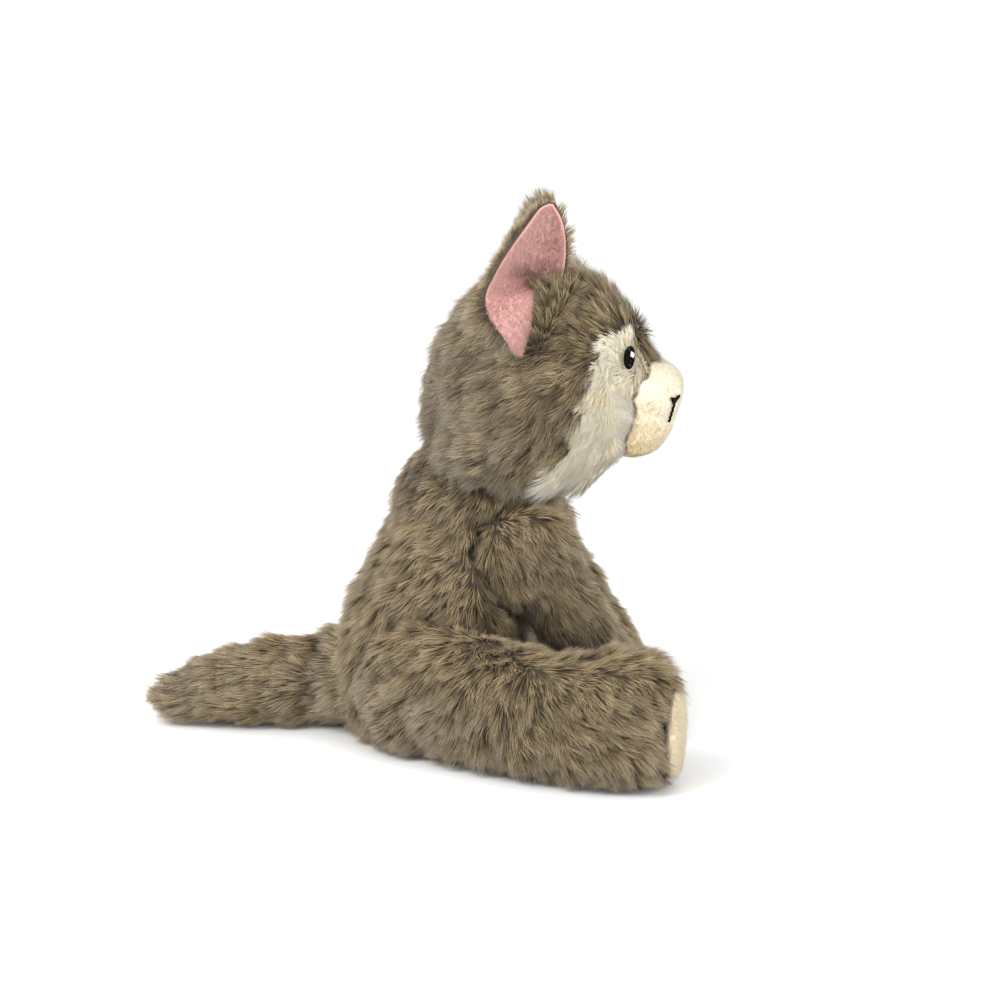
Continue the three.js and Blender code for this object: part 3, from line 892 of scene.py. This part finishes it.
def thicken(sheet, thickness, shade):
    """Gives a copy of a sheet a thickness behind it, and one plain shade of its pile."""
    cloth = bpy.data.objects.new(sheet.name + "_cloth", sheet.data.copy())
    scene.collection.objects.link(cloth)
    apply(cloth, "SOLIDIFY", thickness=thickness, offset=-1)
    return painted(cloth, shade)


# %% [markdown]
# ## The two ears
# Where an ear meets the head, a short furred roll closes the gap, as the gathered cloth does on the
# real ear. It is two cylinders melted into one by a voxel remesh.

# %% The two ears
ears = {}
for side in ("left", "right"):
    flip = other_side if side == "left" else lambda p: p
    ways = flip(np.array([[0.0, 0, 0], [0.3, -0.1, 0.95], [-0.8, -0.25, 0.35]]))
    up, outwards = ways[1] - ways[0], ways[2] - ways[0]
    lining = ear_sheet("ear_lining", side, 0.0, 0.0)
    fibres = grow(lining, everywhere, density=5.5, length=0.0017, width=0.0004, lift=0.0009,
        comb=steady(*-up), lock=12, tousle=30, gather=0.15, spread=0.12, seed=71)
    back = ear_sheet("ear_back", side, 0.02, 0.0016)
    piece("ear_lining_pile_" + side, thicken(lining, 0.0008, 0.6), fibres, pink_pile, "ear_" + side,
        ["ear_lining_" + side])
    pick(back)
    bpy.ops.object.mode_set(mode="EDIT")
    bpy.ops.mesh.select_all(action="SELECT")
    bpy.ops.mesh.flip_normals()
    bpy.ops.object.mode_set(mode="OBJECT")
    spans = []
    for low, high in (((51.5, -54, 186), (68, -27.5, 212.5)), ((53, -51.5, 190), (59.5, -38, 211))):
        ends = flip(np.array([low, high]) / 1000)
        way = Vector(ends[1] - ends[0])
        bpy.ops.mesh.primitive_cylinder_add(vertices=16, radius=root_radius, depth=way.length,
            location=ends.mean(0), rotation=way.to_track_quat("Z", "Y").to_euler())
        pick(bpy.context.object)
        bpy.ops.object.transform_apply()
        spans.append(bpy.context.object)
    root = join("ear_root", *spans)
    apply(root, "REMESH", mode="VOXEL", voxel_size=0.0015)
    apply(root, "SMOOTH", factor=0.5, iterations=4)
    root_fibres = grow(root, everywhere, density=3.0, length=0.0085, width=0.00052, lift=0.0032,
        comb=steady(*(outwards * 0.7 + up * 0.4)), tone=0.5, seed=77)
    rim = flip(np.vstack([smooth_line(rear_edge, 40), smooth_line(front_edge, 40)]))
    from_rim = lambda p: np.linalg.norm(p[:, None] - rim, axis=2).min(1)
    from_front = lambda p: np.linalg.norm(p[:, None] - rim[40:], axis=2).min(1)
    shorter = lambda p: np.interp(from_front(p), [0.003, 0.009], [0.4, 1])
    at_tip = lambda p: np.clip((p[:, 2] - 0.228) / 0.02, 0, 1)
    fibres = grow(back, everywhere, density=3.6,
        length=lambda p: (0.0088 - 0.004 * at_tip(p)) * shorter(p), width=0.0005,
        lift=lambda p: np.interp(from_rim(p), [0.002, 0.009], [0.0002, 0.0042]),
        comb=fan(points(back).mean(0), outwards * 0.35), tone=0.55, seed=75)
    cloth = join("ear_cloth", painted(root, 0.3), thicken(back, 0.001, 0.35))
    piece("ear_back_fur_" + side, cloth, join("ear_fibres", root_fibres, fibres), brown_pile,
        "ear_" + side, ["ear_back_" + side])
    ears[side] = lining
print("ears", {n: len(o.data.polygons) for n, o in ears.items()})

# %% [markdown]
# ## Head
# The head is two brown panels and a white mask on each side of the face, with a brown strip between
# the eyes. Colour painted on one coat would blur at the seams, so each panel grows a coat of its own.
# The pile is swept back from the face, and is clipped short round the root of each ear.

# %% Head
ear_tree = KDTree(sum(len(o.data.vertices) for o in ears.values()))
for o in ears.values():
    for v in o.data.vertices:
        ear_tree.insert(v.co, v.index)
ear_tree.balance()

nape = lambda p: np.clip((0.036 - p[:, 0]) / 0.02, 0, 1) * np.clip((0.152 - p[:, 2]) / 0.02, 0, 1)
throat = lambda p: np.clip((0.138 - p[:, 2]) / 0.015, 0, 1)


def fading(p):
    """The brown pile's length: short beside an ear and long at the nape."""
    beside = np.array([ear_tree.find(q)[2] for q in p])
    return (0.0115 + 0.011 * nape(p)) * np.clip(0.3 + (beside - 0.002) / 0.014, 0.3, 1)


def brow(p):
    """How much a point belongs to the brow, over the muzzle."""
    return np.clip((in_head(p)[:, 0] - 0.098) / 0.006, 0, 1) * np.clip((0.196 - p[:, 2]) / 0.008, 0, 1)


def from_face(p):
    """Outwards from the top of the muzzle, but forwards and down where the cheek meets it."""
    q = in_head(p)
    cheek = np.clip((q[:, 0] - 0.087) / 0.006, 0, 1) * np.clip((0.172 - q[:, 2]) / 0.008, 0, 1)
    outwards = fan((0.116, -0.01, 0.172), (-0.1, 0, -0.25))(p)
    return outwards * (1 - cheek[:, None]) + cheek[:, None] * np.array([0.75, 0, -0.65])


def swept_back(p):
    """Back from the face, but forwards and down over the brow."""
    back = fan((0.118, -0.01, 0.17), (-0.25, 0, -0.3))(p)
    over = brow(p)[:, None]
    aside = np.sign(in_head(p)[:, 1:2]) * np.array([-0.1, 1, 0]) * over * (1 - over) * 4
    return back * (1 - over) + over * np.array([0.7, 0, -0.6]) + aside


for sign, side in ((1, "left"), (-1, "right")):
    mine = lambda p: in_head(p)[:, 1] * sign > 0
    brown = lambda p: mine(p) & ~on_mask(p)
    white = lambda p: mine(p) & on_mask(p)
    cloth = backing("head_cloth", skins["head"], brown)
    fibres = grow(skins["head"], lambda p: brown(p) & ~in_socket(p) & eye_room(p),
        density=2.7, length=fading, width=0.00052,
        lift=lambda p: 0.0036 + 0.0016 * brow(p) + 0.003 * nape(p),
        comb=swept_back, tousle=30, tone=0.44, seed=51 + sign)
    piece("head_fur_" + side, cloth, fibres, brown_pile, "head",
        ["head_panel_" + side] + (["head_stuffing"] if sign > 0 else []))
    cloth = backing("mask_cloth", skins["head"], white, 0.5)
    fibres = grow(skins["head"], lambda p: white(p) & ~in_socket(p) & eye_room(p),
        density=4.3, length=lambda p: 0.008 + 0.010 * throat(p), width=0.00052, lift=0.0023,
        comb=from_face, tousle=20, gather=0.28, tone=0.6, away=[skins["muzzle"]], room=0.0,
        seed=61 + sign)
    piece("mask_fur_" + side, cloth, fibres, white_pile, "head",
        ["face_mask_" + side])

# %% [markdown]
# ## Muzzle
# The muzzle is a stuffed cap of short cream pile. A stitch on each side pulls in a dimple, and a crease
# runs to it from the mouth. They could be sculpted, but pulling the points in by rule keeps both
# sides alike.

# %% Muzzle
low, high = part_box("mouth_stitch")
mouth_foot = np.array(((low.x + high.x) / 2, (low.y + high.y) / 2, low.z))
low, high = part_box("nose_embroidery")
nose_foot = np.array(((low.x + high.x) / 2, (low.y + high.y) / 2, low.z))
dimples = np.array([[0.1055, -0.0345, 0.1555]])
dimples = np.vstack([dimples, turned(in_head(dimples) * [1, -1, 1] + [[0, -0.006, 0]], head_turn)])


def from_line(p, a, b):
    """The distance of each point from the line between a and b."""
    t = np.clip(((p - a) @ (b - a)) / ((b - a) @ (b - a)), 0, 1)[:, None]
    return np.linalg.norm(p - (a + t * (b - a)), axis=1)


muzzle = skins["muzzle"]
muzzle_root = 0.092
crease_depth, crease_width = 0.0012, 0.0022
dimple_depth, dimple_width = 0.0026, 0.0035
co = points(muzzle)
middle = co.mean(0)
pull = crease_depth * np.exp(-((from_line(co, nose_foot, mouth_foot) / crease_width) ** 2))
for dimple in dimples:
    pull = pull + dimple_depth * np.exp(-((np.linalg.norm(co - dimple, axis=1) / dimple_width) ** 2))
    pull = pull + crease_depth * np.exp(-((from_line(co, mouth_foot, dimple) / crease_width) ** 2))
place_points(muzzle, co + unit(middle - co) * pull[:, None])
# Towards the bottom and back the cream pile is darker and more tan: partly the muzzle's own tan, partly
# painted shade under the chin.
tan_and_shade_below = lambda p: np.clip(0.2 + (p[:, 2] - 0.141) / 0.035 + (p[:, 0] - 0.1) / 0.04, 0.1, 0.9)
fibres = grow(muzzle, lambda p: in_head(p)[:, 0] > muzzle_root, density=6.5, length=0.0012,
    width=0.0004, lift=0.0005, comb=fan(nose_foot, (-0.4, 0, -0.5)), lock=30, tousle=40, gather=0.08,
    tone=tan_and_shade_below, spread=0.05, seed=81)
piece("muzzle_pile", backing("muzzle_cloth", muzzle, everywhere, 0.75, tan_and_shade_below), fibres,
    cream_pile, "head", ["muzzle", "muzzle_stuffing"])

# %% [markdown]
# ## Soles
# A sole is a flat oval pad, set into the front of the foot. It is thin and firm, so it is only
# smoothed and not filled out with air. Its pile is too short to show locks.

# %% Soles
for side in ("left", "right"):
    sole = closed_skin("sole_skin_" + side, ["sole_pad_" + side], voxel=0.0014, ease=0.0, rounds=3)
    finish_skin(sole)
    fibres = grow(sole, everywhere, density=5, length=0.0018, width=0.0005, lift=0.001,
        comb=steady(0, 0, -1), lock=30, tousle=40, gather=0.08, tone=0.6, spread=0.06, seed=85)
    piece("sole_pile_" + side, backing("sole_cloth", sole, everywhere, 0.75, 0.6), fibres,
        cream_pile, "leg_" + side, ["sole_pad_" + side])
    skins["sole_" + side] = sole

# %% [markdown]
# ## Embroidery
# The eyes, the nose and the mouth are satin stitches: threads laid side by side. They could be coloured
# patches, but real threads catch the light one by one. Each thread is a round curve, made into a mesh.

# %% Embroidery


def stitches(name, lines, radius, material):
    """Threads along lines of points, as one mesh."""
    curve = bpy.data.curves.new(name, "CURVE")
    curve.dimensions = "3D"
    curve.bevel_depth = radius
    curve.bevel_resolution = 1
    curve.use_fill_caps = True
    for line in lines:
        spline = curve.splines.new("POLY")
        spline.points.add(len(line) - 1)
        row = np.column_stack([line, np.ones(len(line))]).astype(np.float32)
        spline.points.foreach_set("co", row.ravel())
    made = bpy.data.objects.new(name, curve)
    scene.collection.objects.link(made)
    pick(made)
    bpy.ops.object.convert(target="MESH")
    made = bpy.context.object
    made.data.materials.clear()
    made.data.materials.append(material)
    bpy.ops.object.shade_smooth()
    return made


def sewn(name, made, body, node):
    """Gives a piece of embroidery its place in the frame."""
    made.name = name
    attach(made, body)
    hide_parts(node)
    made_pieces.append((name, sum(len(p.vertices) - 2 for p in made.data.polygons)))


def laid_on(tree, line, out, lift):
    """A line pressed onto a skin along out, and lifted off it by a distance."""
    hits = [tree.ray_cast(p.tolist(), (-out).tolist())[0] for p in line + out * 0.03]
    return np.array(hits) + out * lift


head_tree, muzzle_tree = ray_tree(skins["head"]), ray_tree(muzzle)


def satin(middle, across, up, out, rim, crown, pitch):
    """Threads that fill an outline. rim(u) gives the lowest and highest place of the thread at u."""
    lines = []
    for u in np.arange(-1 + pitch / 2, 1, pitch):
        low, high = rim(u)
        t = np.linspace(0, 1, 7)
        bow = np.sin(np.pi * t)
        thread_line = np.outer(low + (high - low) * t, up) + np.outer(bow * crown, out)
        lines.append(middle + across * u + thread_line)
    return lines


# %% [markdown]
# ## Eyes
# An eye is an oval of black satin stitch with a small white glint. A glass bead would be simpler, but
# this cat's eyes are sewn. The threads follow the cloth of the head and stand a little above it, so the
# pile around them does not cover them.

# %% Eyes
eye_lean = math.radians(32)
eye_width, eye_height = 0.0035, 0.0055
for side in ("left", "right"):
    node = frame["nodes"]["eye_" + side]
    low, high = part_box("eye_" + side)
    middle = np.array((low + high) / 2)
    out = np.array(max(node.data.polygons, key=lambda p: p.area).normal)
    out = out * (1 if out @ (middle - np.array(neck)) > 0 else -1)
    up = unit((np.array([0.0, 0, 1]) - out * out[2])[None])[0]
    across = np.cross(up, out)
    lean = eye_lean if side == "right" else -eye_lean
    cos, sin = math.cos(lean), math.sin(lean)
    up, across = up * cos + across * sin, across * cos - up * sin
    oval = lambda u: (-eye_height * math.sqrt(1 - u * u), eye_height * math.sqrt(1 - u * u))
    lines = satin(middle, across * eye_width, up, out, oval, 0.0, 0.085)
    lines = [laid_on(head_tree, line, out, 0.0040) for line in lines]
    middle = lines[len(lines) // 2].mean(0)
    black = stitches("eye", lines, 0.00034, thread)
    glint = middle + out * 0.0006 + up * 0.0018 + across * 0.0006
    lines = satin(glint, across * 0.0010, up, out, lambda u: (-0.0011, 0.0011), 0.0003, 0.4)
    sewn("eye_stitching_" + side, join("eye", stitches("glint", lines, 0.0003, white_thread), black),
        "head", "eye_" + side)

print("eyes", made_pieces[-2:])

# %% [markdown]
# ## Nose and mouth
# The nose is a small wedge of satin stitch, and the mouth is a line of four single stitches below it.
# Both are pressed onto the muzzle, so they follow its curve.

# %% Nose and mouth
low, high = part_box("nose_embroidery")
middle = np.array((low + high) / 2)
bearing = math.radians(-28)
aside = 0.0025
out = np.array([math.cos(bearing), math.sin(bearing), 0])
across = np.array([-out[1], out[0], 0])
up = np.array([0.0, 0, 1])
wedge = lambda u: (-0.0022 + 0.0036 * abs(u), 0.0012 + 0.0010 * abs(u))
lines = satin(middle - across * aside, across * 0.0046, up, out, wedge, 0.0, 0.1)
lines = [laid_on(muzzle_tree, line, out, 0.0008) for line in lines]
sewn("nose_stitching", stitches("nose", lines, 0.00042, thread), "head", "nose_embroidery")
low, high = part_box("mouth_stitch")
top = (np.array(low) + np.array(high)) / 2 + up * ((high.z - low.z) / 2 + 0.0012) - across * aside
foot = top - up * (high.z - low.z)
lines = []
for a, b in ((-0.1, 0.22), (0.2, 0.48), (0.46, 0.74), (0.72, 1)):
    t = np.linspace(a, b, 5)[:, None]
    bow = out * 0.0005 * np.sin(np.pi * (t - a) / (b - a))
    lines.append(laid_on(muzzle_tree, top + (foot - top) * t, out, 0.0006) + bow)
sewn("mouth_stitching", stitches("mouth", lines, 0.00055, thread), "head", "mouth_stitch")
print("nose and mouth", made_pieces[-2:])

# %% [markdown]
# ## Size
# The finished look has to stay inside the CAD model's own box, with a little room for fluff. The skins
# and patterns were only needed to make the pieces, so they are removed, and the triangles of the
# finished pieces are counted.

# %% Size
print("still plain", [n for n, node in frame["nodes"].items() if not node.hide_render])
patterns = ("ear_lining", "ear_back")
ear_patterns = [o for o in bpy.data.objects if o.name.startswith(patterns) and not o.parent]
for spare in [*skins.values(), *ear_patterns]:
    bpy.data.objects.remove(spare)
print("triangles", sum(t for _, t in made_pieces))
